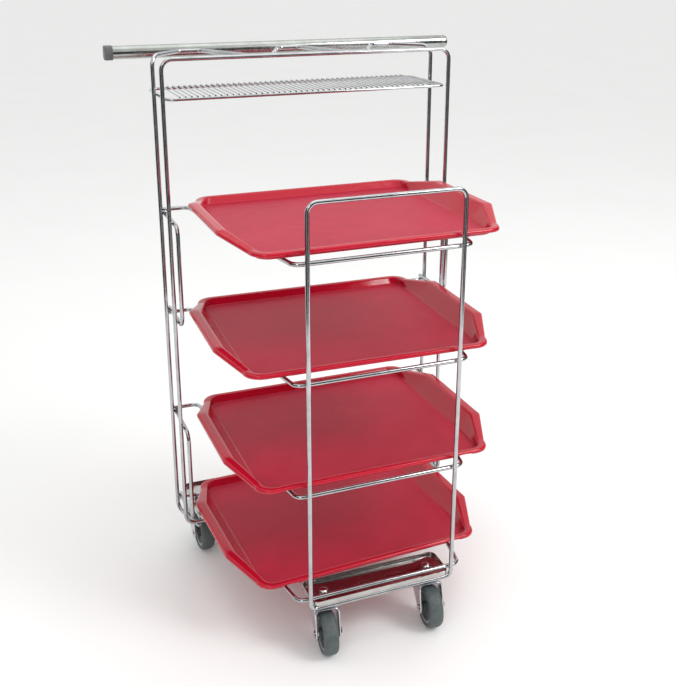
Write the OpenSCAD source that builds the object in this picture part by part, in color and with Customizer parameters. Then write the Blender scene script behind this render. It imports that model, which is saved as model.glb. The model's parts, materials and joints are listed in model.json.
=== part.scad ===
// Tray trolley: a welded wire frame on four swivel casters, with four loose trays,
// a cup shelf and a push handle. Millimetres, +Z up, floor at z = 0.
// Inside the modules Y is measured from the rear outer frame, with the front at -Y;
// in_place() then moves every piece so that the origin is the middle of the footprint.

/* [Frame] */
// Distance between the two rear legs, wire centre to centre
rear_w = 568; // [500:1:700]
// Width of the front frame, wire centre to centre
front_w = 280; // [240:1:340]
// From the rear outer frame to the front frame
depth = 432; // [380:1:520]
// Gap between the rear outer frame and the rear inner frame
frame_gap = 79; // [66:1:95]
// Height of the top rail, wire centre
top_z = 1037; // [1000:1:1240]
// Height of the front frame's top rail
front_top_z = 848; // [800:1:940]
// Height of the bottom rails
rail_z = 100; // [97:1:116]
// Diameter of the frame wire
wire_d = 8; // [6.5:0.1:9.6]
// Centre-line radius of the frame's large bends
bend_r = 20; // [14:1:24]

/* [Shelves] */
// Height of the lowest shelf wire
base_level = 117; // [113:1:131]
// Height from one shelf wire to the next
level_pitch = 210; // [190:1:230]
// How far the shelf wires stand in from the rear legs
arm_len = 52; // [44:1:62]
// How far the shelf wires stand out from the front frame
front_outset = 20; // [17:1:24]
// How far the side loops reach forward
loop_reach = 110; // [92:1:132]

/* [Trays] */
// Room between a tray and each rear leg
tray_side_clear = 26; // [22:0.5:31]
// Room between the trays and the front frame
tray_front_gap = 8; // [6.5:0.1:9.6]
// How far the trays' rear edge lies inside the rear outer frame
tray_rear_inset = 17; // [14:1:20]
// Height of a tray's long walls
tray_wall_h = 16; // [13:1:19]
// Height of a tray's raised handles
tray_wing_h = 31; // [26:1:37]
// Thickness of the tray plastic
tray_t = 3; // [2.5:0.1:3.6]

/* [Cup shelf and handle] */
// Height of the cup shelf's rim wire
shelf_z = 966; // [940:1:981]
// Diameter of the cup shelf's rim wire
rim_d = 6; // [5:0.1:7.2]
// Diameter of the cup shelf's grid wires
grid_d = 3; // [2.5:0.1:3.6]
// Distance between grid wires
grid_pitch = 11; // [9.2:0.1:13.2]
// Diameter of the handle tube
handle_d = 25; // [21:0.5:30]
// Wall of the handle tube
handle_wall = 1.5; // [1.2:0.1:2]
// Length of the handle over its end caps
handle_len = 716; // [640:1:860]

/* [Pans] */
// Thickness of the pan sheet
pan_t = 2; // [1.6:0.1:2.4]
// Depth of the front pan
front_pan_d = 68; // [60:1:82]
// Depth of the rear pan
rear_pan_d = 141; // [128:1:169]

/* [Casters] */
// Wheel diameter
wheel_d = 80; // [67:1:83]
// Tyre width
tyre_w = 28; // [23.5:0.5:32]
// How far the wheel stands off its kingpin
trail = 29; // [25:1:33]
// Diameter of the kingpin
kingpin_d = 12; // [10:0.1:13]
// Diameter of the axle bolt
axle_d = 8; // [6.5:0.1:9.6]
// Front casters, distance between kingpins
front_king_w = 208; // [196:1:220]
// Rear casters, distance between kingpins
rear_king_w = 476; // [420:1:484]

/* [Hidden] */

// fits and welds
weld = 0.4;
rest_gap = 0.3;
run_fit = 0.06;
hole_fit = 0.2;

wire_r = wire_d / 2;
beside = wire_d - weld;
leg_x = rear_w / 2;
front_x = front_w / 2;

// cup rail: the wire zigzags between the front rail and the handle
handle_y = frame_gap;
peak_y = handle_y - handle_d / 2 - wire_r + weld;
trough_y = -frame_gap + beside;
pocket = 100;
peak_half = 22;
trough_half = 18;
zigzag_bend = 14;

// feet of the rear outer frame, under the rear pan
foot_z = rail_z - beside;
foot_x = leg_x - bend_r - 6;

// trays
tray_l = rear_w - wire_d - 2 * tray_side_clear;
tray_d = depth - wire_r - tray_front_gap - tray_rear_inset;
tray_y = -tray_rear_inset - tray_d / 2;

// where each loose tray lies: sideways, backwards, and turned by some degrees
tray_shift = [0, -8, -3, -5];
tray_back = [0, 5, 1, 36];
tray_turn = [0, -1.5, 0, 2.5];

// cup shelf
rim_x = leg_x - wire_r - rim_d / 2 + weld;
rim_bend = 15;

// pans
pan_z = rail_z + wire_r - weld;
pan_lip_z = base_level - wire_r + weld / 2;
pan_corner = 12;
front_pan_x = front_x - wire_r - 0.5;
rear_pan_x = leg_x - bend_r - 6;
front_pan_y = -depth - 2;
rear_pan_y = -frame_gap - wire_r;

// casters
wheel_r = wheel_d / 2;
axle_z = wheel_r;
crown_z = wheel_d + 4;
crown_t = 3;
race_z = crown_z + 9;
cap_flange_t = 0.7 * (pan_z - race_z - 0.4);
race_r = 24;
leg_gap = tyre_w + 6;
leg_t = 3;
fork_back = 26;
fork_front = 29;
hub_r = wheel_r - 10;
shoulder = 5;
front_king_y = front_pan_y + front_pan_d / 2;
rear_king_y = 6;
front_left_turn = 187;
front_right_turn = 186;
rear_left_turn = 177;
rear_right_turn = 175;

// middle of the footprint, from the front wheels to the back of the handle
function caster_reach(turn) =
    (trail + wheel_r - shoulder) * -cos(turn) + (tyre_w / 2 - shoulder) * abs(sin(turn)) + shoulder;
front_end = front_king_y - max(caster_reach(front_left_turn), caster_reach(front_right_turn));
rear_end = handle_y + handle_d / 2 + 1;
mid_y = (front_end + rear_end) / 2;

chrome = [0.78, 0.79, 0.8];
zinc = [0.7, 0.71, 0.72];
tray_red = [0.72, 0.07, 0.13];
rubber = [0.1, 0.12, 0.12];
hub_grey = [0.2, 0.23, 0.24];
cap_grey = [0.2, 0.2, 0.21];

module in_place() translate([0, -mid_y, 0]) children();

// ---- bent wire ----
function unit(v) = v / norm(v);
function heading(points, i) = unit(points[i + 1] - points[i]);
function turn_at(points, i) = acos(min(1, max(-1, heading(points, i - 1) * heading(points, i))));
function is_bend(points, i) = i > 0 && i < len(points) - 1;
function bend_of(bends, i) = is_list(bends) ? bends[i] : bends;
function trim_at(points, bends, i) =
    is_bend(points, i) ? bend_of(bends, i) * tan(turn_at(points, i) / 2) : 0;
function across(v) = abs(v.z) < 0.9 ? [0, 0, 1] : [1, 0, 0];

module frame_at(x_dir, y_dir, z_dir, origin) {
    multmatrix([
        [x_dir.x, y_dir.x, z_dir.x, origin.x],
        [x_dir.y, y_dir.y, z_dir.y, origin.y],
        [x_dir.z, y_dir.z, z_dir.z, origin.z],
        [0, 0, 0, 1]
    ]) children();
}

module rod(from, to, d) {
    z_dir = unit(to - from);
    x_dir = unit(cross(across(z_dir), z_dir));
    frame_at(x_dir, cross(z_dir, x_dir), z_dir, from)
        cylinder(d = d, h = norm(to - from), $fn = 32);
}

module elbow(points, i, d, bend) {
    d_in = heading(points, i - 1);
    d_out = heading(points, i);
    angle = turn_at(points, i);
    inward = unit(d_out - d_in * cos(angle));
    start = points[i] - d_in * bend * tan(angle / 2);
    frame_at(-inward, d_in, cross(-inward, d_in), start + inward * bend)
        rotate_extrude(angle = angle, $fn = 72)
            translate([bend, 0]) circle(d = d, $fn = 32);
}

// A wire through the points, with each corner rounded to its bend radius
module wire(points, d, bends) {
    for (i = [0 : len(points) - 2]) {
        dir = heading(points, i);
        rod(points[i] + dir * trim_at(points, bends, i),
            points[i + 1] - dir * trim_at(points, bends, i + 1), d);
    }
    for (i = [1 : len(points) - 2]) elbow(points, i, d, bend_of(bends, i));
}

// The stations [place, direction] along a wire: its two ends and the steps round each bend
bend_steps = 6;

function stations(points, bends) = concat(
    [[points[0], heading(points, 0)]],
    [for (i = [1 : len(points) - 2])
        let (d_in = heading(points, i - 1), angle = turn_at(points, i), bend = bend_of(bends, i),
             inward = unit(heading(points, i) - d_in * cos(angle)),
             centre = points[i] - d_in * bend * tan(angle / 2) + inward * bend)
            for (k = [0 : bend_steps]) let (a = angle * k / bend_steps)
                [centre + bend * (d_in * sin(a) - inward * cos(a)), d_in * cos(a) + inward * sin(a)]],
    [[points[len(points) - 1], heading(points, len(points) - 2)]]
);

// Sideways directions carried from station to station without twisting
function carried(path, found) = len(found) == len(path) ? found :
    let (t = path[len(found)][1], last = found[len(found) - 1])
        carried(path, concat(found, [unit(last - t * (last * t))]));

// The same wire as one many-sided tube, for runs that slant
tube_sides = 12;

module slanted_wire(points, d, bends) {
    path = stations(points, bends);
    side = carried(path, [unit(cross(across(path[0][1]), path[0][1]))]);
    n = tube_sides;
    last = (len(path) - 1) * n;
    polyhedron(
        points = [for (i = [0 : len(path) - 1], j = [0 : n - 1]) let (a = 360 * j / n)
            path[i][0] + d / 2 * (side[i] * cos(a) + cross(path[i][1], side[i]) * sin(a))],
        faces = concat(
            [[for (j = [0 : n - 1]) j]],
            [[for (j = [n - 1 : -1 : 0]) last + j]],
            [for (i = [0 : len(path) - 2], j = [0 : n - 1]) let (a = i * n + j, b = i * n + (j + 1) % n)
                each [[a, b + n, b], [a, a + n, b + n]]]
        )
    );
}

function mirrored(points) = [for (i = [len(points) - 1 : -1 : 0]) [-points[i].x, points[i].y, points[i].z]];

// ---- frame ----
module rear_outer_frame() {
    half = [
        [-foot_x, -frame_gap - wire_r, foot_z],
        [-leg_x, 0, foot_z],
        [-leg_x, 0, top_z],
        [-2 * pocket - peak_half, peak_y, top_z],
        [-2 * pocket + peak_half, peak_y, top_z],
        [-pocket - trough_half + 5, trough_y, top_z],
        [-pocket + trough_half + 5, trough_y, top_z],
        [-peak_half, peak_y, top_z]
    ];
    z = zigzag_bend;
    half_bends = [0, bend_r, bend_r, z, z, z, z, z];
    bends = concat(half_bends, [z, z, z, z, z, bend_r, bend_r, 0]);
    color(chrome) slanted_wire(concat(half, mirrored(half)), wire_d, bends);
}

module upright_loop(half_w, y, low, high, low_bend, high_bend) {
    wire([
        [0, y, low], [half_w, y, low], [half_w, y, high],
        [-half_w, y, high], [-half_w, y, low], [0, y, low]
    ], wire_d, [0, low_bend, high_bend, high_bend, low_bend, 0]);
}

module rear_inner_frame()
    color(chrome) upright_loop(leg_x, -frame_gap, rail_z, top_z, bend_r, bend_r);

module front_frame()
    color(chrome) upright_loop(front_x, -depth, rail_z, front_top_z, 12, 18);

// ---- shelves ----
module shelf_loop(z) {
    half = [
        [-leg_x + wire_r - 2 * weld, 0, z],
        [-leg_x + arm_len, 0, z],
        [-front_x - front_outset, -depth + beside, z]
    ];
    bends = [0, 18, 16, 16, 18, 0];
    color(chrome) slanted_wire(concat(half, mirrored(half)), wire_d, bends);
}

function level_z(level) = base_level + (4 - level) * level_pitch;

module shelf_wire_1() shelf_loop(level_z(1));
module shelf_wire_2() shelf_loop(level_z(2));
module shelf_wire_3() shelf_loop(level_z(3));
module base_wire() shelf_loop(level_z(4));

// A D-shaped loop beside the rear legs, between two shelf levels
module side_loop(side, upper_level) {
    x = side * (leg_x - beside);
    high = level_z(upper_level) - beside;
    low = level_z(upper_level + 1) + beside;
    color(chrome) wire([
        [x, wire_r + 2, high], [x, -loop_reach, high],
        [x, -loop_reach, low], [x, wire_r + 2, low]
    ], wire_d, 18);
}

module side_loop_upper_left() side_loop(-1, 1);
module side_loop_upper_right() side_loop(1, 1);
module side_loop_lower_left() side_loop(-1, 3);
module side_loop_lower_right() side_loop(1, 3);

// ---- cup shelf ----
module cup_shelf_rim()
    color(chrome) wire([
        [0, -frame_gap, shelf_z], [rim_x, -frame_gap, shelf_z], [rim_x, frame_gap, shelf_z],
        [-rim_x, frame_gap, shelf_z], [-rim_x, -frame_gap, shelf_z], [0, -frame_gap, shelf_z]
    ], rim_d, [0, rim_bend, rim_bend, rim_bend, rim_bend, 0]);

module cup_shelf_grid() {
    count = floor((rim_x - rim_bend) / grid_pitch);
    z = shelf_z + (rim_d + grid_d) / 2 - weld;
    color(chrome) for (i = [-count : count])
        rod([i * grid_pitch, -frame_gap - 1, z], [i * grid_pitch, frame_gap + 1, z], grid_d);
}

// ---- handle ----
cap_len = 15;
plug_len = 20;
tube_len = handle_len - 2 * cap_len;
bore_r = handle_d / 2 - handle_wall;

module along_x(x) translate([x, handle_y, top_z]) rotate([0, 90, 0]) children();

module handle_tube() color(chrome) along_x(-tube_len / 2) difference() {
    cylinder(d = handle_d, h = tube_len, $fn = 64);
    translate([0, 0, -1]) cylinder(r = bore_r, h = tube_len + 2, $fn = 64);
}

module handle_cap_left() color(cap_grey) {
    wide = handle_d + 2;
    round_r = 6;
    straight = wide - 2 * round_r;
    along_x(-handle_len / 2) linear_extrude(cap_len) union() {
        square([wide, straight], center = true);
        square([straight, wide], center = true);
        for (x = [-1, 1], y = [-1, 1])
            translate([x, y] * straight / 2) circle(round_r, $fn = 32);
    }
    along_x(-tube_len / 2 - 0.5) cylinder(r = bore_r - run_fit, h = plug_len, $fn = 64);
}

module handle_cap_right() color(chrome) {
    dome = 6;
    along_x(tube_len / 2) rotate_extrude($fn = 64) {
        square([handle_d / 2, cap_len - dome]);
        translate([0, cap_len - dome]) square([handle_d / 2 - dome, dome]);
        intersection() {
            translate([handle_d / 2 - dome, cap_len - dome]) circle(dome, $fn = 32);
            translate([0, cap_len - dome]) square([handle_d / 2, dome]);
        }
    }
    along_x(tube_len / 2 - plug_len) cylinder(r = bore_r - run_fit, h = plug_len + 0.5, $fn = 64);
}

// ---- pans ----
module round_rect(half_x, size_y, r) {
    translate([-half_x + r, 0]) square([2 * (half_x - r), size_y]);
    translate([-half_x, r]) square([2 * half_x, size_y - 2 * r]);
    for (x = [-half_x + r, half_x - r], y = [r, size_y - r])
        translate([x, y]) circle(r, $fn = 48);
}

module pan(half_x, size_y, front_y, king_x, king_y) {
    difference() {
        translate([0, front_y, pan_z])
            linear_extrude(pan_lip_z - pan_z) round_rect(half_x, size_y, pan_corner);
        translate([0, front_y + pan_t, pan_z + pan_t])
            linear_extrude(pan_lip_z) round_rect(half_x - pan_t, size_y - 2 * pan_t, pan_corner - pan_t);
        for (side = [-1, 1])
            translate([side * king_x, king_y, pan_z - 1])
                cylinder(r = kingpin_d / 2 + hole_fit, h = pan_t + 2, $fn = 48);
    }
}

module front_pan()
    color(zinc) pan(front_pan_x, front_pan_d, front_pan_y, front_king_w / 2, front_king_y);

module rear_pan()
    color(zinc) pan(rear_pan_x, rear_pan_d, rear_pan_y, rear_king_w / 2, rear_king_y);

nut_h = 9;
thread_h = 5;

module dome_nut() rotate_extrude($fn = 64) difference() {
    union() {
        square([kingpin_d / 2 + 5, 2]);
        intersection() {
            translate([0, -2]) circle(nut_h + 2, $fn = 96);
            square([kingpin_d / 2 + 4, nut_h]);
        }
    }
    translate([-1, -1]) square([kingpin_d / 2 + run_fit + 1, thread_h + 1]);
}

module dome_nuts() {
    floor_z = pan_z + pan_t;
    color(chrome) for (side = [-1, 1]) {
        translate([side * front_king_w / 2, front_king_y, floor_z]) dome_nut();
        translate([side * rear_king_w / 2, rear_king_y, floor_z]) dome_nut();
    }
}

// ---- trays ----
// One ring of the tray: each quarter has two points on the short side and an arc
arc_steps = 6;
handle_half = 108;

function quarter(hx, hy, r, taper) = concat(
    [[hx, 0], [hx, handle_half]],
    [for (k = [0 : arc_steps]) let (a = 90 * k / arc_steps)
        [hx - taper - r + r * cos(a), hy - r + r * sin(a)]],
    [[0.5 * (hx - taper - r), hy]]
);

function ring(hx, hy, r, taper) = let (q = quarter(hx, hy, r, taper)) concat(
    q,
    [[0, hy]],
    [for (i = [len(q) - 1 : -1 : 1]) [-q[i].x, q[i].y]],
    [for (p = q) [-p.x, -p.y]],
    [[0, -hy]],
    [for (i = [len(q) - 1 : -1 : 1]) [q[i].x, -q[i].y]]
);

// Height of the rim over a point: raised along the handles, low elsewhere
function rim_z(p, hx, rise) = abs(p.y) <= handle_half + 1 && abs(p.x) > hx - 1 ? rise : 0;

module tray_body() {
    hx = tray_l / 2;
    hy = tray_d / 2;
    lip = 14;
    wing_slope = 27;
    wall_slope = 8;
    rise = tray_wing_h - tray_wall_h;
    low_x = hx - lip - wing_slope;
    low_y = hy - 6 - wall_slope;
    floor_ring = ring(low_x, low_y, 22, 0);
    fold_ring = ring(hx - lip, hy - 6, 24, 27);
    edge_ring = ring(hx, hy, 28, 32);
    n = len(floor_ring);
    top = concat(
        [for (p = floor_ring) [p.x, p.y, tray_t]],
        [for (p = fold_ring) [p.x, p.y, tray_wall_h + rim_z(p, hx - lip, rise)]],
        [for (p = edge_ring) [p.x, p.y, tray_wall_h + rim_z(p, hx, rise)]]
    );
    bottom = [for (p = top) [p.x, p.y, p.z - tray_t]];
    band = function(a, b, flip) [for (i = [0 : n - 1]) let (j = (i + 1) % n)
        each flip ? [[a + i, b + i, b + j], [a + i, b + j, a + j]]
                  : [[a + i, b + j, b + i], [a + i, a + j, b + j]]];
    under = 3 * n;
    middle = 2 * under;
    polyhedron(
        points = concat(top, bottom, [[0, 0, tray_t], [0, 0, 0]]),
        faces = concat(
            [for (i = [0 : n - 1]) [middle, (i + 1) % n, i]],
            [for (i = [0 : n - 1]) [middle + 1, under + i, under + (i + 1) % n]],
            band(0, n, false),
            band(n, 2 * n, false),
            band(2 * n, under + 2 * n, false),
            band(under + 2 * n, under + n, false),
            band(under + n, under, false)
        )
    );
}

module tray(level) color(tray_red)
    translate([tray_shift[level - 1], tray_y + tray_back[level - 1], level_z(level) + wire_r + rest_gap])
        rotate([0, 0, tray_turn[level - 1]]) tray_body();

module tray_1() tray(1);
module tray_2() tray(2);
module tray_3() tray(3);
module tray_4() tray(4);

// ---- casters ----
// A caster stands on the floor with its kingpin on the Z axis and its wheel trailing along +X
module bearing_cap() color(zinc) rotate_extrude($fn = 64) {
    translate([kingpin_d / 2 + run_fit, race_z + 0.4])
        square([race_r - kingpin_d / 2 - run_fit, cap_flange_t]);
    translate([kingpin_d / 2 + run_fit, race_z + 0.4])
        square([9, pan_z - race_z - 0.4]);
}

module kingpin() color(zinc) {
    head_t = 6;
    translate([0, 0, crown_z - head_t - 0.1])
        cylinder(r = kingpin_d / 2 + 3, h = head_t, $fn = 48);
    translate([0, 0, crown_z - 1])
        cylinder(d = kingpin_d, h = pan_z + pan_t + thread_h - crown_z + 0.9, $fn = 48);
}

module fork_leg() {
    boss_r = 11;
    linear_extrude(leg_t) difference() {
        union() {
            polygon([
                [-fork_back, crown_z + crown_t], [fork_front, crown_z + crown_t],
                [trail + boss_r - 0.5, axle_z + 5], [trail + 5, axle_z - 7], [trail - 7, axle_z - 7], [trail - boss_r, axle_z + 2]
            ]);
            translate([trail, axle_z]) circle(boss_r, $fn = 48);
        }
        translate([trail, axle_z]) circle(axle_d / 2 + 0.1, $fn = 48);
    }
}

module fork() color(zinc) difference() {
    union() {
        for (y = [-leg_gap / 2, leg_gap / 2 + leg_t])
            translate([0, y, 0]) rotate([90, 0, 0]) fork_leg();
        translate([-fork_back, -leg_gap / 2 - leg_t, crown_z])
            cube([fork_back + fork_front, leg_gap + 2 * leg_t, crown_t]);
        translate([0, 0, crown_z]) cylinder(r = race_r - 2, h = race_z - crown_z, $fn = 64);
    }
    translate([0, 0, crown_z - 1])
        cylinder(r = kingpin_d / 2 + run_fit, h = race_z - crown_z + 2, $fn = 48);
}

module on_axle() translate([trail, 0, axle_z]) rotate([90, 0, 0]) children();

hub_half = tyre_w / 2 - 2;

module hub() color(hub_grey) on_axle() rotate_extrude($fn = 96) difference() {
    union() {
        translate([0, -hub_half]) square([hub_r, 2 * hub_half]);
        translate([0, -leg_gap / 2 + 1]) square([11, leg_gap - 2]);
    }
    translate([-1, -leg_gap]) square([1 + axle_d / 2 + run_fit, 2 * leg_gap]);
    for (y = [-hub_half - 1, hub_half - 4]) translate([14, y]) square([hub_r - 18, 5]);
}

module tyre() color(rubber) on_axle() rotate_extrude($fn = 96) {
    crown_half = tyre_w / 2 - shoulder;
    translate([hub_r, -tyre_w / 2]) square([wheel_r - shoulder - hub_r, tyre_w]);
    translate([hub_r, -crown_half]) square([wheel_r - hub_r, 2 * crown_half]);
    for (y = [-crown_half, crown_half])
        translate([wheel_r - shoulder, y]) circle(shoulder, $fn = 48);
}

head_h = 5.3;
nut_t = 6.5;
flats_r = axle_d * 0.9;

module axle_bolt() color(zinc) on_axle() {
    translate([0, 0, leg_gap / 2 + leg_t]) cylinder(r = flats_r, h = head_h, $fn = 6);
    translate([0, 0, -leg_gap / 2 - leg_t - nut_t - 2])
        cylinder(d = axle_d, h = leg_gap + 2 * leg_t + nut_t + 2.5, $fn = 48);
}

module axle_nut() color(zinc) on_axle() difference() {
    translate([0, 0, -leg_gap / 2 - leg_t - nut_t]) cylinder(r = flats_r, h = nut_t, $fn = 6);
    translate([0, 0, -leg_gap / 2 - leg_t - nut_t - 1])
        cylinder(d = axle_d + 2 * run_fit, h = nut_t + 2, $fn = 48);
}

module caster_at(x, y, turn) translate([x, y, 0]) rotate([0, 0, 90 - turn]) children();
module front_left() caster_at(-front_king_w / 2, front_king_y, front_left_turn) children();
module front_right() caster_at(front_king_w / 2, front_king_y, front_right_turn) children();
module rear_left() caster_at(-rear_king_w / 2, rear_king_y, rear_left_turn) children();
module rear_right() caster_at(rear_king_w / 2, rear_king_y, rear_right_turn) children();

in_place() rear_outer_frame();
in_place() rear_inner_frame();
in_place() front_frame();
in_place() shelf_wire_1();
in_place() shelf_wire_2();
in_place() shelf_wire_3();
in_place() base_wire();
in_place() side_loop_upper_left();
in_place() side_loop_upper_right();
in_place() side_loop_lower_left();
in_place() side_loop_lower_right();
in_place() cup_shelf_rim();
in_place() cup_shelf_grid();
in_place() handle_tube();
in_place() handle_cap_left();
in_place() handle_cap_right();
in_place() front_pan();
in_place() rear_pan();
in_place() dome_nuts();
in_place() tray_1();
in_place() tray_2();
in_place() tray_3();
in_place() tray_4();
in_place() front_left() bearing_cap();  // front_left_bearing_cap
in_place() front_left() kingpin();  // front_left_kingpin
in_place() front_left() fork();  // front_left_fork
in_place() front_left() axle_bolt();  // front_left_axle_bolt
in_place() front_left() axle_nut();  // front_left_axle_nut
in_place() front_left() hub();  // front_left_hub
in_place() front_left() tyre();  // front_left_tyre
in_place() front_right() bearing_cap();  // front_right_bearing_cap
in_place() front_right() kingpin();  // front_right_kingpin
in_place() front_right() fork();  // front_right_fork
in_place() front_right() axle_bolt();  // front_right_axle_bolt
in_place() front_right() axle_nut();  // front_right_axle_nut
in_place() front_right() hub();  // front_right_hub
in_place() front_right() tyre();  // front_right_tyre
in_place() rear_left() bearing_cap();  // rear_left_bearing_cap
in_place() rear_left() kingpin();  // rear_left_kingpin
in_place() rear_left() fork();  // rear_left_fork
in_place() rear_left() axle_bolt();  // rear_left_axle_bolt
in_place() rear_left() axle_nut();  // rear_left_axle_nut
in_place() rear_left() hub();  // rear_left_hub
in_place() rear_left() tyre();  // rear_left_tyre
in_place() rear_right() bearing_cap();  // rear_right_bearing_cap
in_place() rear_right() kingpin();  // rear_right_kingpin
in_place() rear_right() fork();  // rear_right_fork
in_place() rear_right() axle_bolt();  // rear_right_axle_bolt
in_place() rear_right() axle_nut();  // rear_right_axle_nut
in_place() rear_right() hub();  // rear_right_hub
in_place() rear_right() tyre();  // rear_right_tyre
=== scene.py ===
import bpy
import json
import math
import numpy as np
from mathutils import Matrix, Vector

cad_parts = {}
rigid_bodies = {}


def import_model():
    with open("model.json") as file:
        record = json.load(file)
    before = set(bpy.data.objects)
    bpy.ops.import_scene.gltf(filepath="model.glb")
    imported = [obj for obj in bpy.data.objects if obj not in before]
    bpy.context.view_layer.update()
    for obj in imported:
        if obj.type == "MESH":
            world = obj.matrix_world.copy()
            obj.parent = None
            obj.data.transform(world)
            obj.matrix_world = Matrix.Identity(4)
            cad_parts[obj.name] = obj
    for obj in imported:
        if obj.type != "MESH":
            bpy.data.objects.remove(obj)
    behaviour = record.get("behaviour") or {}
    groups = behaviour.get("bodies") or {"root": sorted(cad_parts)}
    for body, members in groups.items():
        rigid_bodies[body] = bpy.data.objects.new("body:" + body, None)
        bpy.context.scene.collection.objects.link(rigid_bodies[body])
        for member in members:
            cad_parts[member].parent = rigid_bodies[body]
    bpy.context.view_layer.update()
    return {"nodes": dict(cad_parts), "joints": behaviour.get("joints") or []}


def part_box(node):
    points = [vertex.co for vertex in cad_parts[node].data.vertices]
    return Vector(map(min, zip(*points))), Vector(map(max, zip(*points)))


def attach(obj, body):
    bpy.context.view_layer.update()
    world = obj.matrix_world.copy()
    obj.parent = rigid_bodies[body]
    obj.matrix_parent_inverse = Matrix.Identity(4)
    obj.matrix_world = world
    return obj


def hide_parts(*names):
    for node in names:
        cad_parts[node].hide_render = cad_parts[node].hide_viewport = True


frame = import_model()
print("tray trolley:", len(frame["nodes"]), "nodes loaded")

mm = 0.001


def boxOf(node):
    lowest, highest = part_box(node)
    return np.array(lowest) / mm, np.array(highest) / mm


# A shape is (points in millimetres, faces), worked out on a grid.
def gridFaces(rows, cols, closeRows=False, closeCols=True):
    # face (i, j) = i*cols + j, i*cols + j+1, (i+1)*cols + j+1, (i+1)*cols + j
    i, j = np.meshgrid(np.arange(rows - (not closeRows)), np.arange(cols - (not closeCols)), indexing="ij")
    k, m = (i + 1) % rows, (j + 1) % cols
    return np.stack([i * cols + j, i * cols + m, k * cols + m, k * cols + j], -1).reshape(-1, 4)


def closedGrid(rings, firstPole=None, lastPole=None, closeRows=False):
    # rings[i, j] with j running round; a pole closes an end with the fan (pole, j, j+1)
    rows, cols = rings.shape[:2]
    points = [rings.reshape(-1, 3)]
    faces = gridFaces(rows, cols, closeRows).tolist()
    j = np.arange(cols)
    count = rows * cols
    if firstPole is not None:
        points.append(np.array([firstPole], float))
        faces += np.stack([np.full(cols, count), (j + 1) % cols, j], -1).tolist()
        count += 1
    if lastPole is not None:
        points.append(np.array([lastPole], float))
        top = (rows - 1) * cols
        faces += np.stack([np.full(cols, count), top + j, top + (j + 1) % cols], -1).tolist()
    return np.concatenate(points), faces


def joined(shapes):
    points, faces, start = [], [], 0
    for somePoints, someFaces in shapes:
        points.append(somePoints)
        faces += [[start + v for v in face] for face in someFaces]
        start += len(somePoints)
    return np.concatenate(points), faces


def turned(shape, origin, xDir, zDir=(0, 0, 1)):
    # p = origin + x*xDir + y*(zDir x xDir) + z*zDir
    x, z = np.array(xDir, float), np.array(zDir, float)
    return shape[0] @ np.array([x, np.cross(z, x), z]) + np.array(origin, float), shape[1]


def unit(v):
    return v / np.linalg.norm(v)


def bentPath(corners, bends, closed=False, steps=8):
    # straight runs, and at each corner p(a) = centre + bend*(dIn*sin a - inward*cos a)
    corners = np.array(corners, float)
    count = len(corners)
    bends = np.broadcast_to(np.array(bends, float), count)
    found = [] if closed else [corners[:1]]
    for i in range(0 if closed else 1, count if closed else count - 1):
        dIn, dOut = unit(corners[i] - corners[i - 1]), unit(corners[(i + 1) % count] - corners[i])
        angle = math.acos(np.clip(dIn @ dOut, -1, 1))
        inward = unit(dOut - dIn * math.cos(angle))
        centre = corners[i] - dIn * bends[i] * math.tan(angle / 2) + inward * bends[i]
        a = np.linspace(0, angle, steps + 1)[:, None]
        found.append(centre + bends[i] * (dIn * np.sin(a) - inward * np.cos(a)))
    if not closed:
        found.append(corners[-1:])
    return np.concatenate(found)


def tube(path, radius, sides=20, closed=False, endCut=0.25):
    # p(i, a) = path(i) + radius*(side(i)*cos a + (dir(i) x side(i))*sin a), side carried without twist
    if not closed:  # each free end narrows over a short cut
        firstDir, lastDir = unit(path[1] - path[0]), unit(path[-1] - path[-2])
        cut = radius * endCut
        path = np.concatenate([path[:1], path[:1] + firstDir * cut, path[1:-1],
                               path[-1:] - lastDir * cut, path[-1:]])
    ahead, behind = np.roll(path, -1, 0), np.roll(path, 1, 0)
    if not closed:
        ahead[-1], behind[0] = path[-1], path[0]
    dirs = ahead - behind
    dirs /= np.linalg.norm(dirs, axis=1)[:, None]
    side = np.cross(dirs[0], [0.3, 0.2, 0.9])
    sides3 = []
    for step in dirs:
        side = unit(side - step * (side @ step))
        sides3.append(side)
    sides3 = np.array(sides3)
    a = np.linspace(0, 2 * math.pi, sides, endpoint=False)[None, :, None]
    reach = np.full(len(path), float(radius))
    if not closed:
        reach[[0, -1]] = radius * (1 - endCut)
    ring = np.cos(a) * sides3[:, None] + np.sin(a) * np.cross(dirs, sides3)[:, None]
    rings = path[:, None] + reach[:, None, None] * ring
    return closedGrid(rings, closeRows=True) if closed else closedGrid(rings, path[0], path[-1])


def revolved(profile, steps=48, closeRows=False, radiusOf=None):
    # p(t, a) = (r(t)*cos a, r(t)*sin a, z(t)); radiusOf may limit r by the angle
    profile = np.array(profile, float)
    a = np.linspace(0, 2 * math.pi, steps, endpoint=False)[None]
    low, high = profile[0, 0] < 1e-6, profile[-1, 0] < 1e-6
    rows = profile if closeRows else profile[low:len(profile) - high]
    r = rows[:, :1] * np.ones_like(a)
    if radiusOf is not None:
        r = np.minimum(r, radiusOf(a))
    rings = np.stack([r * np.cos(a), r * np.sin(a), rows[:, 1:] * np.ones_like(a)], -1)
    if closeRows:
        return closedGrid(rings, closeRows=True)
    return closedGrid(rings, [0, 0, profile[0, 1]], [0, 0, profile[-1, 1]])


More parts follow.
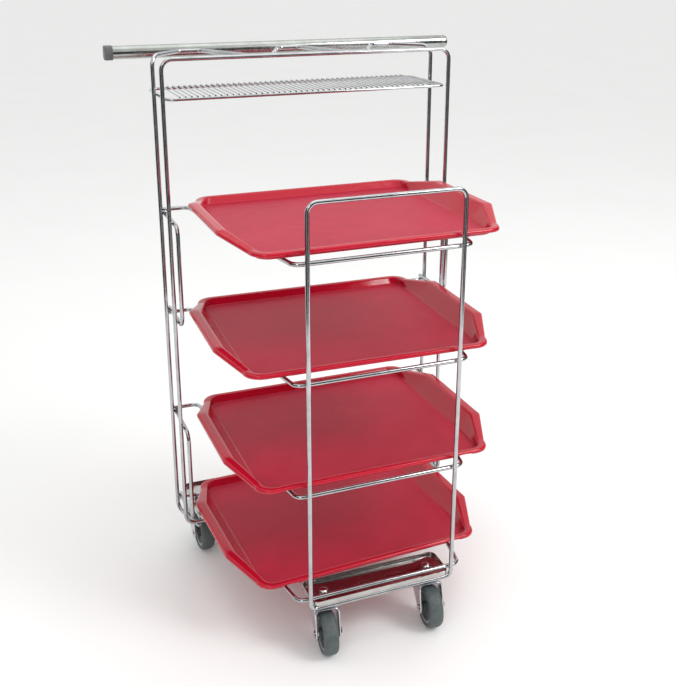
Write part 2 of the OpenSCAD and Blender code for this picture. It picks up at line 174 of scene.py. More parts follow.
def rounded(profile, radii, steps=5):
    # a profile in (r, z) with each inner corner replaced by a quadratic curve of that reach
    profile = np.array(profile, float)
    found = [profile[:1]]
    t = np.linspace(0, 1, steps + 1)[:, None]
    for i, reach in enumerate(np.broadcast_to(radii, len(profile) - 2), start=1):
        before, after = profile[i - 1] - profile[i], profile[i + 1] - profile[i]
        reach = min(reach, np.linalg.norm(before) * 0.48, np.linalg.norm(after) * 0.48)
        start, end = profile[i] + unit(before) * reach, profile[i] + unit(after) * reach
        found.append((1 - t) ** 2 * start + 2 * t * (1 - t) * profile[i] + t ** 2 * end)
    return np.concatenate(found + [profile[-1:]])


def bead(centre, radii):
    # a weld bead: p(t, a) = centre + radii*(cos a*sin t, sin a*sin t, -cos t)
    t = np.linspace(0, math.pi, 9)
    points, faces = revolved(np.stack([np.sin(t), -np.cos(t)], -1).round(9), 12)
    return points * np.array(radii, float) + np.array(centre, float), faces


def keepShare(piece, name, share):
    # a share from 0 to 1 at every point, which the material mixes by
    piece.data.attributes.new(name, "FLOAT", "POINT").data.foreach_set("value", share.astype(np.float32))


def makePiece(name, shape, finish, body, nodes, sharpAngle=38):
    points, faces = shape
    mesh = bpy.data.meshes.new(name)
    mesh.from_pydata((points * mm).tolist(), [], faces)
    mesh.shade_smooth()
    mesh.set_sharp_from_angle(angle=math.radians(sharpAngle))
    mesh.materials.append(finish)
    piece = bpy.data.objects.new(name, mesh)
    bpy.context.scene.collection.objects.link(piece)
    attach(piece, body)
    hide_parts(*nodes)
    return piece


# Every material is made of nodes, with object coordinates.
class finishMaker:
    def __init__(self, name):
        self.material = bpy.data.materials.new(name)
        self.material.use_nodes = True
        self.tree = self.material.node_tree
        self.shader = self.tree.nodes["Principled BSDF"]
        self.place = self.tree.nodes.new("ShaderNodeTexCoord").outputs["Object"]

    def put(self, kind, settings=(), **inputs):
        node = self.tree.nodes.new(kind)
        for key, value in dict(settings).items():
            setattr(node, key, value)
        for key, value in inputs.items():
            self.link(value, node.inputs[key])
        return node

    def link(self, value, socket):
        if isinstance(value, bpy.types.NodeSocket):
            self.tree.links.new(value, socket)
        else:
            socket.default_value = value

    def noise(self, scale, detail=3, stretch=(1, 1, 1), rough=0.5):
        mapped = self.put("ShaderNodeMapping", Vector=self.place, Scale=stretch)
        return self.put("ShaderNodeTexNoise", Vector=mapped.outputs[0], Scale=scale, Detail=detail,
                        Roughness=rough).outputs["Fac"]

    def spots(self, scale, stretch=(1, 1, 1)):
        mapped = self.put("ShaderNodeMapping", Vector=self.place, Scale=stretch)
        return self.put("ShaderNodeTexVoronoi", Vector=mapped.outputs[0], Scale=scale).outputs["Distance"]

    def span(self, source, low, high, fromLow=0.3, fromHigh=0.7):
        node = self.put("ShaderNodeMapRange", Value=source)
        for key, value in (("From Min", fromLow), ("From Max", fromHigh), ("To Min", low), ("To Max", high)):
            node.inputs[key].default_value = value
        return node.outputs["Result"]

    def mix(self, share, first, second):
        node = self.put("ShaderNodeMix", {"data_type": "RGBA"})
        self.link(share, node.inputs["Factor"])
        for socket, value in zip([s for s in node.inputs if s.type == "RGBA"], (first, second)):
            self.link(value if isinstance(value, bpy.types.NodeSocket) else (*value, 1), socket)
        return next(s for s in node.outputs if s.type == "RGBA")

    def sums(self, operation, first, second):
        node = self.put("ShaderNodeMath", {"operation": operation})
        self.link(first, node.inputs[0])
        self.link(second, node.inputs[1])
        return node.outputs[0]

    def attribute(self, name):
        return self.put("ShaderNodeAttribute", {"attribute_name": name}).outputs["Fac"]

    def bump(self, height, strength, distance, under=None):
        node = self.put("ShaderNodeBump", Height=height, Strength=strength, Distance=distance)
        if under is not None:
            self.link(under, node.inputs["Normal"])
        return node.outputs[0]

    def done(self, colour, roughness, normal=None, **fixed):
        self.link(colour, self.shader.inputs["Base Color"])
        self.link(roughness, self.shader.inputs["Roughness"])
        if normal is not None:
            self.link(normal, self.shader.inputs["Normal"])
        for key, value in fixed.items():
            self.shader.inputs[key.replace("_", " ")].default_value = value
        return self.material


def metalFinish(name, light, dark, smooth, rough, grain, stretch=(1, 1, 1), depth=0.00002):
    # plated metal: slow clouding in the colour, fine drawn lines and small dull spots in the gloss
    make = finishMaker(name)
    cloud = make.noise(38, 4, rough=0.6)
    lines = make.noise(grain, 2, stretch)
    dull = make.span(make.spots(210), 0.09, 0, 0.02, 0.2)
    colour = make.mix(make.span(cloud, 0, 1), light, dark)
    gloss = make.sums("ADD", make.span(lines, smooth, rough), dull)
    normal = make.bump(make.noise(60, 3), 0.25, depth * 8, make.bump(lines, 0.3, depth))
    return make.done(colour, gloss, normal, Metallic=1.0)


chromeWire = metalFinish("chromeWire", (0.56, 0.565, 0.58), (0.42, 0.425, 0.44), 0.07, 0.17, 700)
handleChrome = metalFinish("handleChrome", (0.46, 0.475, 0.45), (0.35, 0.365, 0.345), 0.14, 0.3, 300,
                           (0.15, 8, 8))
panZinc = metalFinish("panZinc", (0.62, 0.6, 0.58), (0.47, 0.45, 0.44), 0.1, 0.26, 260, (0.3, 6, 6))
casterZinc = metalFinish("casterZinc", (0.74, 0.76, 0.79), (0.52, 0.54, 0.58), 0.13, 0.3, 420)
brightFastener = metalFinish("brightFastener", (0.8, 0.79, 0.77), (0.62, 0.61, 0.6), 0.08, 0.2, 500)


def trayFinish():
    make = finishMaker("trayRed")
    wall = make.attribute("wallShare")
    cloud = make.noise(14, 4, rough=0.65)
    grain = make.noise(1150, 2, rough=0.6)
    scuffs = make.noise(55, 5, (1, 9, 1), 0.7)
    floorRed = make.mix(make.span(cloud, 0, 1), (0.47, 0.010, 0.040), (0.41, 0.007, 0.031))
    colour = make.mix(wall, floorRed, (0.46, 0.004, 0.022))
    floorGloss = make.sums("ADD", make.span(scuffs, -0.05, 0.06), make.span(grain, 0.36, 0.5))
    wallGloss = make.span(make.noise(90, 4, rough=0.6), 0.1, 0.2)
    keep = make.sums("SUBTRACT", 1.0, wall)
    gloss = make.sums("ADD", make.sums("MULTIPLY", floorGloss, keep),
                      make.sums("MULTIPLY", wallGloss, wall))
    height = make.sums("MULTIPLY", grain, make.span(keep, 0.06, 1, 0, 1))
    ripple = make.bump(make.noise(24, 2), 0.2, 0.0004)
    make.link(make.span(wall, 0.24, 0.5, 0, 1), make.shader.inputs["Specular IOR Level"])
    return make.done(colour, gloss, make.bump(height, 0.5, 0.00012, ripple))


def rubberFinish():
    make = finishMaker("tyreRubber")
    scuff = make.noise(120, 5, rough=0.7)
    fine = make.noise(1400, 2)
    colour = make.mix(make.span(scuff, 0, 1), (0.052, 0.066, 0.068), (0.094, 0.112, 0.113))
    return make.done(colour, make.span(scuff, 0.42, 0.66), make.bump(fine, 0.4, 0.00008),
                     Specular_IOR_Level=0.5)


def hubFinish():
    make = finishMaker("hubPlastic")
    cloud = make.noise(80, 4, rough=0.6)
    dark = make.mix(make.span(cloud, 0, 1), (0.035, 0.04, 0.041), (0.06, 0.066, 0.068))
    colour = make.mix(make.attribute("rimShare"), dark, (0.3, 0.33, 0.34))
    return make.done(colour, make.span(cloud, 0.32, 0.5), make.bump(make.noise(900, 2), 0.3, 0.00006))


def capFinish():
    make = finishMaker("capPlastic")
    cloud = make.noise(60, 4, rough=0.6)
    colour = make.mix(make.span(cloud, 0, 1), (0.07, 0.072, 0.075), (0.115, 0.118, 0.12))
    return make.done(colour, make.span(cloud, 0.34, 0.52), make.bump(make.noise(1100, 2), 0.45, 0.0001))


trayRed = trayFinish()
tyreRubber = rubberFinish()
hubPlastic = hubFinish()
capPlastic = capFinish()
print("finishes ready")

# The three hoops of the frame, in millimetres.
frameWire = {
    "sides": 20, "bend": 20, "frontLowBend": 12, "frontHighBend": 18,
    "hoopGap": 79, "footInset": 26, "beside": 7.6,
    "zigzagPitch": 100, "peakHalf": 22, "troughHalf": 18, "troughShift": 5, "zigzagBend": 14,
    "bead": 5.2,
}
wireLow, wireHigh = boxOf("rear_inner_frame")
wireR = (wireHigh[1] - wireLow[1]) / 2
innerY = wireLow[1] + wireR
outerY = innerY + frameWire["hoopGap"]
legX, topZ, railZ = wireHigh[0] - wireR, wireHigh[2] - wireR, wireLow[2] + wireR
frontLow, frontHigh = boxOf("front_frame")
frontX, frontY, frontTopZ = frontHigh[0] - wireR, frontLow[1] + wireR, frontHigh[2] - wireR


def mirroredPath(half):
    # the left half followed by its reflection in x = 0, walked back
    half = np.array(half, float)
    return np.concatenate([half, half[::-1] * [-1, 1, 1]])


def uprightLoop(halfX, y, low, high, lowBend, highBend):
    corners = [[halfX, y, low], [halfX, y, high], [-halfX, y, high], [-halfX, y, low]]
    path = bentPath(corners, [lowBend, highBend, highBend, lowBend], closed=True, steps=10)
    return tube(path, wireR, frameWire["sides"], closed=True)


outerLow, outerHigh = boxOf("rear_outer_frame")
peakY = outerHigh[1] - wireR
footZ = outerLow[2] + wireR
troughY = innerY + frameWire["beside"]
pitch, peak, trough, lean = (frameWire[k] for k in ("zigzagPitch", "peakHalf", "troughHalf", "troughShift"))
outerHalf = [
    [-legX + frameWire["footInset"], outerLow[1], footZ], [-legX, outerY, footZ], [-legX, outerY, topZ],
    [-2 * pitch - peak, peakY, topZ], [-2 * pitch + peak, peakY, topZ],
    [-pitch - trough + lean, troughY, topZ], [-pitch + trough + lean, troughY, topZ], [-peak, peakY, topZ],
]
halfBends = [0, frameWire["bend"], frameWire["bend"]] + [frameWire["zigzagBend"]] * 5
outerPath = bentPath(mirroredPath(outerHalf), halfBends + halfBends[::-1], steps=9)

shelfNodes = {"shelf_wire_1": "shelfWire1", "shelf_wire_2": "shelfWire2", "shelf_wire_3": "shelfWire3",
              "base_wire": "baseWire"}
levels = [(boxOf(node)[0][2] + boxOf(node)[1][2]) / 2 for node in shelfNodes]
size = frameWire["bead"]
outerBeads = [bead([s * (legX - wireR), outerY, z], [2.4, size, size]) for s in (-1, 1) for z in levels]
outerBeads += [bead([pitch * k, peakY + wireR * 0.8, topZ], [9, 2.2, 3.4]) for k in (-2, 2, 0)]
makePiece("rearOuterHoop", joined([tube(outerPath, wireR, frameWire["sides"])] + outerBeads),
          chromeWire, "frame", ["rear_outer_frame"])
makePiece("rearInnerHoop", uprightLoop(legX, innerY, railZ, topZ, frameWire["bend"], frameWire["bend"]),
          chromeWire, "frame", ["rear_inner_frame"])

frontBeads = [bead([s * frontX, frontY + wireR * 0.95, z], [size, 2.2, size * 0.7])
              for s in (-1, 1) for z in levels]
frontHoop = uprightLoop(frontX, frontY, railZ, frontTopZ, frameWire["frontLowBend"],
                        frameWire["frontHighBend"])
makePiece("frontHoop", joined([frontHoop] + frontBeads), chromeWire, "frame", ["front_frame"])

print("hoops bent")

# Shelf wires run from leg to leg round the front; side loops join them in pairs.
shelfWire = {
    "armBend": 18, "cornerBend": 16, "frontOut": 20, "armLength": 52, "armEnd": 3.2, "loopBend": 18,
}
for node, name in shelfNodes.items():
    low, high = boxOf(node)
    z = (low[2] + high[2]) / 2
    nose = -frontX - shelfWire["frontOut"]
    shelfHalf = [[-legX + shelfWire["armEnd"], outerY, z], [-legX + shelfWire["armLength"], outerY, z],
                 [nose, low[1] + wireR, z]]
    shelfBends = [0, shelfWire["armBend"], shelfWire["cornerBend"]]
    shelfPath = bentPath(mirroredPath(shelfHalf), shelfBends + shelfBends[::-1], steps=10)
    makePiece(name, tube(shelfPath, wireR, frameWire["sides"]), chromeWire, "frame", [node])

for height in ("upper", "lower"):
    for side in ("left", "right"):
        node = f"side_loop_{height}_{side}"
        low, high = boxOf(node)
        x = (low[0] + high[0]) / 2
        corners = [[x, high[1], high[2] - wireR], [x, low[1] + wireR, high[2] - wireR],
                   [x, low[1] + wireR, low[2] + wireR], [x, high[1], low[2] + wireR]]
        loop = [tube(bentPath(corners, shelfWire["loopBend"], steps=10), wireR, frameWire["sides"])]
        out = math.copysign(wireR * 0.95, x)
        for z in (high[2] - wireR, low[2] + wireR):
            loop.append(bead([x + out, innerY, z], [2.2, size, size * 0.8]))
            loop.append(bead([x, outerY, z + math.copysign(wireR * 0.95, z - (low[2] + high[2]) / 2)],
                             [size, size * 0.8, 2.2]))
        makePiece("sideLoop" + height.title() + side.title(), joined(loop), chromeWire, "frame", [node])
print("shelf wires bent")

# The cup shelf: a rim wire with cross wires on it.
cupShelf = {"rimBend": 15, "rimSides": 16, "gridSides": 10, "gridPitch": 11}
rimLow, rimHigh = boxOf("cup_shelf_rim")
rimR = (rimHigh[2] - rimLow[2]) / 2
rimCorners = [[x, y, rimLow[2] + rimR] for x, y in (
    (rimHigh[0] - rimR, rimLow[1] + rimR), (rimHigh[0] - rimR, rimHigh[1] - rimR),
    (rimLow[0] + rimR, rimHigh[1] - rimR), (rimLow[0] + rimR, rimLow[1] + rimR))]
rimPath = bentPath(rimCorners, cupShelf["rimBend"], closed=True)
makePiece("cupShelfRim", tube(rimPath, rimR, cupShelf["rimSides"], closed=True), chromeWire, "frame",
          ["cup_shelf_rim"])
gridLow, gridHigh = boxOf("cup_shelf_grid")
gridR = (gridHigh[2] - gridLow[2]) / 2
wireCount = round((gridHigh[0] - gridLow[0] - 2 * gridR) / cupShelf["gridPitch"]) + 1
gridZ = gridLow[2] + gridR
gridWires = [tube(np.array([[x, gridLow[1], gridZ], [x, gridHigh[1], gridZ]]), gridR, cupShelf["gridSides"])
             for x in np.linspace(gridLow[0] + gridR, gridHigh[0] - gridR, wireCount)]
makePiece("cupShelfGrid", joined(gridWires), chromeWire, "frame", ["cup_shelf_grid"])
print("cup shelf laid")

# The push handle and its two end caps.
handle = {"sides": 56, "wall": 1.5, "edge": 0.8, "plug": 18, "capEdge": 2.2, "dome": 7}
tubeLow, tubeHigh = boxOf("handle_tube")
tubeR = (tubeHigh[2] - tubeLow[2]) / 2
tubeY, tubeZ = tubeLow[1] + tubeR, tubeLow[2] + tubeR


def alongX(shape, x):
    return turned(shape, [x, tubeY, tubeZ], [0, 0, 1], [1, 0, 0])


tubeLength = tubeHigh[0] - tubeLow[0]
boreR = tubeR - handle["wall"]
tubeProfile = rounded([[boreR, 0], [tubeR, 0], [tubeR, tubeLength], [boreR, tubeLength]], handle["edge"])
tubeLoop = np.concatenate([tubeProfile, [[boreR, tubeLength * 0.5]]])
makePiece("handleTube", alongX(revolved(tubeLoop, handle["sides"], closeRows=True), tubeLow[0]),
          handleChrome, "frame", ["handle_tube"])

leftLow, leftHigh = boxOf("handle_cap_left")
capHalf = (leftHigh[2] - leftLow[2]) / 2
capLength = tubeLow[0] - leftLow[0]


def squareCap(half, length, edge):
    # section = superellipse |y|^n + |z|^n = half^n; a rounded outer edge scales it in
    a = np.linspace(0, 2 * math.pi, 64, endpoint=False)
    power = 4.2
    section = (np.abs(np.cos(a)) ** power + np.abs(np.sin(a)) ** power) ** (-1 / power)
    rows = rounded([[0, 0], [half, 0], [half, length], [boreR - 0.3, length],
                    [boreR - 0.3, length + handle["plug"]], [0, length + handle["plug"]]],
                   [edge, 0.6, 0.1, 1.0])
    square = np.clip((rows[:, 0] - boreR) / (half - boreR), 0, 1)[:, None]
    square = np.where(rows[:, 1:] < length - 0.01, 1.0, square)
    r = rows[:, :1] * (1 + (section[None] - 1) * square)
    r = np.where(rows[:, 1:] < length + 0.01, r, rows[:, :1])
    rings = np.stack([r * np.cos(a), r * np.sin(a), rows[:, 1:] * np.ones_like(r)], -1)
    return closedGrid(rings[1:-1], [0, 0, rows[0, 1]], [0, 0, rows[-1, 1]])


makePiece("handleCapLeft", alongX(squareCap(capHalf, capLength, handle["capEdge"]), leftLow[0]), capPlastic,
          "frame", ["handle_cap_left"])
rightLow, rightHigh = boxOf("handle_cap_right")
domeLength = rightHigh[0] - tubeHigh[0]
domeProfile = rounded([[0, -handle["plug"]], [boreR - 0.3, -handle["plug"]], [boreR - 0.3, 0], [tubeR, 0],
                       [tubeR, domeLength], [0, domeLength]], [1, 0.1, 0.5, handle["dome"]], 8)
makePiece("handleCapRight", alongX(revolved(domeProfile, handle["sides"]), tubeHigh[0]),
          handleChrome, "frame", ["handle_cap_right"])
print("handle fitted")


# Pans, dome nuts and trays are rings of the same kind, stacked.
def quarterRing(halfX, halfY, corner, taper, straight, counts):
    # one quarter from (halfX, 0): straight side, tapered side, arc of the corner, then the long side
    straight = np.minimum(straight, 0.49 * halfY)
    side, slant, arc, run = (np.linspace(0, 1, n, endpoint=False)[None] for n in counts)
    arcA = arc * math.pi / 2
    one = np.ones_like
    x = np.concatenate([halfX * one(side), halfX - taper * slant,
                        halfX - taper - corner + corner * np.cos(arcA),
                        (halfX - taper - corner) * (1 - run)], 1)
    y = np.concatenate([straight * side * one(halfX), straight + (halfY - corner - straight) * slant,
                        halfY - corner + corner * np.sin(arcA), halfY * one(run)], 1)
    lift = np.concatenate([one(side), 1 - slant, 0 * arc, 0 * run], 1) * one(halfX)
    return x, y, lift


def fullRing(rows, straight, counts):
    # rows of (halfX, halfY, corner, taper, z, rise); the quarter is turned into all four
    halfX, halfY, corner, taper, z, rise = (rows[:, k:k + 1] for k in range(6))
    x, y, lift = quarterRing(halfX, halfY, corner, taper, straight, counts)
    backX, backY, backLift = (np.concatenate([0 * halfX + end, v[:, :0:-1]], 1)
                              for v, end in ((x, 0), (y, halfY), (lift, 0)))
    x = np.concatenate([x, -backX, -x, backX], 1)
    y = np.concatenate([y, backY, -y, -backY], 1)
    lift = np.concatenate([lift, backLift, lift, backLift], 1)
    return np.stack([x, y, z + rise * lift], -1)


def roundedRows(rows, shares, steps=4):
    # rows joined by straight spans, each inner row replaced by a quadratic curve over its shares
    rows = np.array(rows, float)
    t = np.linspace(0, 1, steps + 1)[:, None]
    found = [rows[:1]]
    for i, (before, after) in enumerate(shares, start=1):
        start, end = rows[i] + before * (rows[i - 1] - rows[i]), rows[i] + after * (rows[i + 1] - rows[i])
        found.append((1 - t) ** 2 * start + 2 * t * (1 - t) * rows[i] + t ** 2 * end)
    return np.concatenate(found + [rows[-1:]])


pan = {"corner": 12, "sheet": 2}


def panShape(low, high, sheet):
    halfX, halfY = (high - low)[:2] / 2
    tall = high[2] - low[2]
    r, f = pan["corner"], sheet
    inner = [halfX - f, halfY - f, r - f, 0]
    outer = [halfX, halfY, r, 0]
    rows = [[halfX * 0.5, halfY * 0.5, r * 0.5, 0, 0, 0], [*outer, 0, 0], [*outer, tall, 0],
            [*inner, tall, 0], [*inner, f, 0], [inner[0] * 0.5, inner[1] * 0.5, r * 0.4, 0, f, 0]]
    grid = fullRing(roundedRows(rows, [(3 / halfX, 0.3), (0.08, 0.5), (0.5, 0.3), (0.4, 3 / halfX)]),
                    min(halfY - r, 20) * 0.5, (4, 4, 8, 16))
    centre = [(low[0] + high[0]) / 2, (low[1] + high[1]) / 2, low[2]]
    points, faces = closedGrid(grid, [0, 0, 0], [0, 0, f])
    return points + centre, faces


for node, name in (("front_pan", "frontPan"), ("rear_pan", "rearPan")):
    makePiece(name, panShape(*boxOf(node), pan["sheet"]), panZinc, "frame", [node])

domeNut = {"flangeR": 11, "flange": 2, "domeR": 9.6, "tall": 9}
swivels = {j["child"][:-5]: j for j in frame["joints"] if j["name"].endswith("_swivel")}
rolls = {j["parent"][:-5]: j for j in frame["joints"] if j["name"].endswith("_roll")}
nutLow, nutHigh = boxOf("dome_nuts")
t = np.linspace(0, math.pi / 2, 12)[:-1]
flangeR, flange, tall = domeNut["flangeR"], domeNut["flange"], domeNut["tall"]
domeRows = np.stack([domeNut["domeR"] * np.cos(t) ** 0.8, flange + (tall - flange) * np.sin(t)], -1)
nutProfile = np.concatenate([[[0, 0], [flangeR, 0], [flangeR, 1.2], [10.4, flange]], domeRows, [[0, tall]]])
nuts = [turned(revolved(nutProfile, 40), [*(np.array(j["pos_m"][:2]) / mm), nutLow[2]], [1, 0, 0])
        for j in swivels.values()]
makePiece("domeNuts", joined(nuts), brightFastener, "frame", ["dome_nuts"])
print("pans fitted")

# Four loose trays; turns says how each one lies, in degrees.
tray = {
    "length": 508, "depth": 403, "turns": (0, -1.5, 0, 2.5), "deck": 3.0, "wallHeight": 16,
    "sheet": 2.8, "lipEnd": 14, "lipSide": 6, "wingSlope": 27, "wallSlope": 8, "handleHalf": 108,
    "floorCorner": 22, "foldCorner": 24, "edgeCorner": 28, "foldTaper": 27, "edgeTaper": 32,
    "skirt": 4.2, "notchAt": 168, "notchHalf": 17,
}


def trayShape(low, high, turn):
    halfX, halfY = tray["length"] / 2, tray["depth"] / 2
    rise = high[2] - low[2] - tray["wallHeight"]
    top, deck = tray["wallHeight"], tray["deck"]
    foldX, foldY = halfX - tray["lipEnd"], halfY - tray["lipSide"]
    floorX, floorY = foldX - tray["wingSlope"], foldY - tray["wallSlope"]
    floor = [floorX, floorY, tray["floorCorner"], 0, deck, 0]
    fold = [foldX, foldY, tray["foldCorner"], tray["foldTaper"], top, rise]
    edge = [halfX, halfY, tray["edgeCorner"], tray["edgeTaper"], top, rise]
    under = [*edge[:4], top - tray["skirt"], rise]
    heart = [floorX * 0.3, floorY * 0.3, 8, 0, deck, 0]
    rows = roundedRows([heart, floor, fold, edge, under], [(0.03, 0.24), (0.1, 0.25), (0.18, 0.4)], 6)
    grid = fullRing(rows, tray["handleHalf"], (10, 14, 14, 44))
    # the skirt under the long lips lifts in a short arch near each end
    inArch = np.clip(1 - ((np.abs(grid[-1, :, 0]) - tray["notchAt"]) / tray["notchHalf"]) ** 2, 0, 1) ** 0.5
    inArch *= np.abs(grid[-1, :, 1]) > halfY - 1
    grid[-1, :, 2] += inArch * tray["skirt"] * 0.55
    wall = np.clip((grid[..., 2] - deck) / 1.5, 0, 1)
    points, faces = closedGrid(grid, [0, 0, deck])
    centre = [(low[0] + high[0]) / 2, (low[1] + high[1]) / 2, low[2]]
    a = math.radians(turn)
    points, faces = turned((points, faces), centre, [math.cos(a), math.sin(a), 0])
    return points, faces, np.append(wall.ravel(), 0)


for number in (1, 2, 3, 4):
    node = f"tray_{number}"
    points, faces, wall = trayShape(*boxOf(node), tray["turns"][number - 1])
    piece = makePiece(f"tray{number}", (points, faces), trayRed, node, [node], 50)
    keepShare(piece, "wallShare", wall)
    shell = piece.modifiers.new("shell", "SOLIDIFY")
    shell.thickness = tray["sheet"] * mm
    shell.offset = -1
    shell.use_even_offset = True
print("trays moulded")

# Casters, in the frame of one whose kingpin is on Z and whose wheel stands off along +X.
caster = {
    "wheelR": 40, "tyreW": 28, "hubR": 30, "tyrePower": 2.7, "legGap": 34, "legT": 3, "crownZ": 84,
    "forkBack": 26, "forkFront": 29, "bossR": 11, "hexR": 7.2,
}


def forkShape(trail, axleZ):
    # a strip folded into a U: rows run up one leg, over the crown and down the other, and
    # p(row, v) = (lead*(1 - v) + rear*v, y(row), z(row)), v from one edge of the strip to the other
    c = caster
    outY, topZ = c["legGap"] / 2 + c["legT"], c["crownZ"] + c["legT"]
    section = bentPath([[0, -outY, axleZ - c["bossR"] + 0.05], [0, -outY, topZ], [0, outY, topZ],
                        [0, outY, axleZ - c["bossR"] + 0.05]], 6.5, steps=6)
    up = np.sort(np.concatenate([axleZ - c["bossR"] * np.cos(np.linspace(0.06, math.pi / 2, 9)),
                                 np.linspace(axleZ + 3, topZ - 8, 12)]))
    leg = np.stack([0 * up, 0 * up - outY, up], -1)
    bendRows = section[1:-1]
    section = np.concatenate([leg, bendRows, leg[::-1] * [1, -1, 1]])
    z = section[:, 2]
    share = np.clip((topZ - z) / (topZ - axleZ), 0, 1)
    below = np.sqrt(np.clip(c["bossR"] ** 2 - np.clip(axleZ - z, 0, None) ** 2, 0, None))
    back, front, boss = c["forkBack"], c["forkFront"], c["bossR"]
    lead = np.where(z > axleZ, -back + (trail - boss + back) * share ** 1.1, trail - below)
    rear = np.where(z > axleZ, front + (trail + boss - front) * share ** 0.8, trail + below)
    v = np.linspace(0, 1, 9)[None, :, None]
    start, end = section.copy(), section.copy()
    start[:, 0], end[:, 0] = lead, rear
    points = start[:, None] * (1 - v) + end[:, None] * v
    rows = len(section)
    return points.reshape(-1, 3), gridFaces(rows, 9, closeCols=False)[:, ::-1].tolist()


def hexRadius(a):
    # distance to a hexagon's side at angle a
    return caster["hexR"] * math.cos(math.pi / 6) / np.cos(np.mod(a, math.pi / 3) - math.pi / 6)


def hexHead(base, top, washer=1.0):
    r = caster["hexR"]
    rows = [[0, base], [r + 1.6, base], [r + 1.6, base + washer], [r, base + washer], [r, top - 0.9],
            [r * 0.86, top], [0, top]]
    body = revolved(rows[3:6], 72, radiusOf=hexRadius)
    plate = revolved([[0, base]] + rows[1:3] + [[0, base + washer]], 36)
    return joined([plate, body])


tyrePart = caster["wheelR"] - caster["hubR"]
a = np.linspace(-math.pi / 2, math.pi / 2, 41)
power = 2 / caster["tyrePower"]
tyreProfile = np.stack([caster["hubR"] + 2.2 + (tyrePart - 2.2) * np.abs(np.cos(a)) ** power,
                        caster["tyreW"] / 2 * np.sign(np.sin(a)) * np.abs(np.sin(a)) ** power], -1)
tyreProfile = np.concatenate([[[30, -12], [31.6, -13.4]], tyreProfile[1:-1], [[31.6, 13.4], [30, 12]]])

# profiles of the turned parts, as (radius, distance along the axis)
hubProfile = rounded([[0, -16], [11, -16], [11, -9], [14, -8], [23.5, -7.5], [26.5, -11.6], [29.9, -11.8],
                      [29.9, 11.8], [26.5, 11.6], [23.5, 7.5], [14, 8], [11, 9], [11, 16], [0, 16]],
                     [1.2, 1.5, 1.5, 2, 1, 0.6, 0.6, 1, 2, 1.5, 1.5, 1.2], 3)
capProfile = rounded([[6.1, 93.5], [24, 93.5], [24, 98], [20, 100.3], [15, 100.6], [15, 103.5],
                      [6.1, 103.5]], [1, 3, 2, 1, 0.6])
raceProfile = rounded([[6.1, 87], [22, 87], [22, 89.4], [20.8, 90.2], [22, 91], [22, 93], [6.1, 93]],
                      [0.5, 0.6, 0.5, 0.6, 0.6])
pinProfile = rounded([[0, 78], [9, 78], [9, 83.9], [6, 83.9], [6, 110.4], [0, 110.4]], [1.2, 0.4, 0.4, 1])

for corner, swivel in swivels.items():
    swivelAt, axleAt = np.array(swivel["pos_m"]) / mm, np.array(rolls[corner]["pos_m"]) / mm
    offset = (axleAt - swivelAt) * [1, 1, 0]
    trail, axleZ = np.linalg.norm(offset), axleAt[2]
    lead = offset / trail
    across = np.cross([0, 0, 1], lead)
    name = "".join(word.title() for word in corner.split("_"))
    fork, wheel = corner + "_fork", corner + "_wheel"
    ground = [*swivelAt[:2], 0]

    def onAxle(shape):
        return turned(shape, axleAt, lead, -across)

    def nodeSet(*parts):
        return [f"{corner}_{part}" for part in parts]

    cup = turned(revolved(capProfile, 56, closeRows=True), ground, lead)
    makePiece("bearingCap" + name, cup, casterZinc, "frame", nodeSet("bearing_cap"))
    pin = turned(revolved(pinProfile, 32), ground, lead)
    makePiece("kingpin" + name, pin, casterZinc, "frame", nodeSet("kingpin"))
    plate = makePiece("fork" + name, turned(forkShape(trail, axleZ), ground, lead), casterZinc, fork,
                      nodeSet("fork"), 60)
    thick = plate.modifiers.new("sheet", "SOLIDIFY")
    thick.thickness = caster["legT"] * mm
    thick.offset = -1
    race = makePiece("race" + name, turned(revolved(raceProfile, 56, closeRows=True), ground, lead),
                     casterZinc, fork, nodeSet("fork"))
    half = caster["legGap"] / 2 + caster["legT"]
    boltRod = revolved(rounded([[0, -half - 8.5], [4, -half - 8.5], [4, half + 0.2], [0, half + 0.2]], 1), 24)
    bolt = joined([hexHead(half, half + 5.3), boltRod])
    makePiece("axleBolt" + name, onAxle(bolt), brightFastener, fork, nodeSet("axle_bolt"))
    points, faces = hexHead(half, half + 6.5)
    nut = (points * [1, -1, -1], faces)
    makePiece("axleNut" + name, onAxle(nut), brightFastener, fork, nodeSet("axle_nut"))
    hub = makePiece("hub" + name, onAxle(revolved(hubProfile, 72)), hubPlastic, wheel, nodeSet("hub"))
    reach = np.linalg.norm(revolved(hubProfile, 72)[0][:, :2], axis=1)
    rim = np.clip((reach - 26) / 1, 0, 1)
    keepShare(hub, "rimShare", rim)
    makePiece("tyre" + name, onAxle(revolved(tyreProfile, 96, closeRows=True)), tyreRubber, wheel,
              nodeSet("tyre"))
print("casters fitted")

# Floor, light and camera, in metres and watts.
studio = {
    "floorHalf": 40.0, "floorColour": (0.9, 0.9, 0.895),
    "world": (0.93, 0.935, 0.93), "worldStrength": 0.98,
    "cardRadius": 1.9, "cardHeight": 1.7, "cardDark": 0.035,
    "camera": (-0.6306, -1.6235, 1.2179), "turn": -21.46, "tilt": 18.36, "lens": 51.11, "shiftY": -0.10,
}


def plainFinish(name, colour, roughness):
    make = finishMaker(name)
    soft = make.mix(make.span(make.noise(2.2, 2), 0, 1), colour, tuple(c * 0.985 for c in colour))
    return make.done(soft, roughness)


def stageGrid(name, points, cols, finish):
    mesh = bpy.data.meshes.new(name)
    faces = gridFaces(points.shape[0], cols, closeCols=False).tolist()
    mesh.from_pydata(points.reshape(-1, 3).tolist(), [], faces)
    mesh.materials.append(finish)
    made = bpy.data.objects.new(name, mesh)
    bpy.context.scene.collection.objects.link(made)
    return made


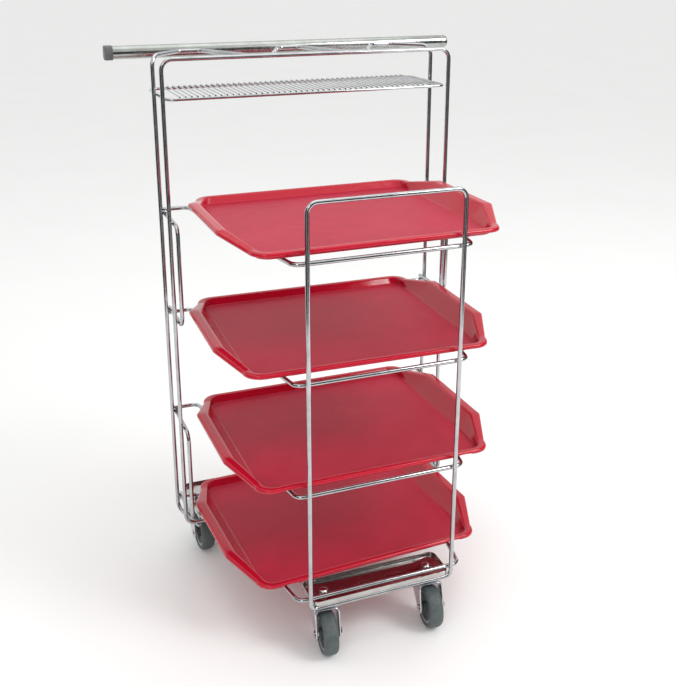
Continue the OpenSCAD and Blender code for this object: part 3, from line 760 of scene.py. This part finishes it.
h = studio["floorHalf"]
x, y = np.meshgrid([-h, h], [-h, h])
stageGrid("floor", np.stack([x, y, 0 * x], -1), 2, plainFinish("paleFloor", studio["floorColour"], 0.75))

darkCard = bpy.data.materials.new("darkCard")
darkCard.use_nodes = True
darkShader = darkCard.node_tree.nodes["Principled BSDF"]
darkShader.inputs["Base Color"].default_value = (0, 0, 0, 1)
darkShader.inputs["Specular IOR Level"].default_value = 0
darkShader.inputs["Emission Color"].default_value = (0.9, 0.95, 1, 1)
darkShader.inputs["Emission Strength"].default_value = studio["cardDark"]
for number, (startTurn, endTurn) in enumerate(((-200, -128), (-118, -62), (-52, 20))):
    # dark curtain, seen only in reflections: p(a, z) = (radius*cos a, radius*sin a, z)
    turn = np.radians(np.linspace(startTurn, endTurn, 16))[None]
    z = np.array([[0.02], [studio["cardHeight"]]])
    radius = studio["cardRadius"]
    curtain = np.stack([radius * np.cos(turn) + 0 * z, radius * np.sin(turn) + 0 * z, z + 0 * turn], -1)
    card = stageGrid(f"darkCurtain{number + 1}", curtain, 16, darkCard)
    card.visible_camera = card.visible_diffuse = card.visible_shadow = card.visible_transmission = False

world = bpy.data.worlds.new("studioWorld")
world.use_nodes = True
world.node_tree.nodes["Background"].inputs["Color"].default_value = (*studio["world"], 1)
world.node_tree.nodes["Background"].inputs["Strength"].default_value = studio["worldStrength"]
bpy.context.scene.world = world

lightRows = (
    ("keyLight", (1.9, -1.9, 2.5), (0, 0, 0.5), 1.2, 1.2, 48),
    ("topLight", (0.1, 0.4, 3.2), (0, 0, 0.4), 2.4, 2.4, 16),
    ("fillLight", (-1.9, -2.4, 1.9), (0, 0, 0.6), 0.9, 1.5, 12),
)
for name, at, aim, wide, tall, watts in lightRows:
    lamp = bpy.data.lights.new(name, "AREA")
    lamp.shape, lamp.size, lamp.size_y, lamp.energy = "RECTANGLE", wide, tall, watts
    lampObject = bpy.data.objects.new(name, lamp)
    way = np.array(aim, float) - np.array(at, float)
    flat = math.hypot(way[0], way[1])
    lampObject.location = at
    lampObject.rotation_euler = (math.pi / 2 + math.atan2(way[2], flat), 0, math.atan2(-way[0], way[1]))
    bpy.context.scene.collection.objects.link(lampObject)

lens = bpy.data.cameras.new("camera")
lens.lens, lens.sensor_width, lens.shift_y = studio["lens"], 36, studio["shiftY"]
lens.clip_start, lens.clip_end = 0.05, 200
camera = bpy.data.objects.new("camera", lens)
camera.location = studio["camera"]
camera.rotation_euler = (math.radians(90 - studio["tilt"]), 0, math.radians(studio["turn"]))
bpy.context.scene.collection.objects.link(camera)
bpy.context.scene.camera = camera
bpy.context.scene.view_settings.view_transform = "Standard"

print("scene ready")
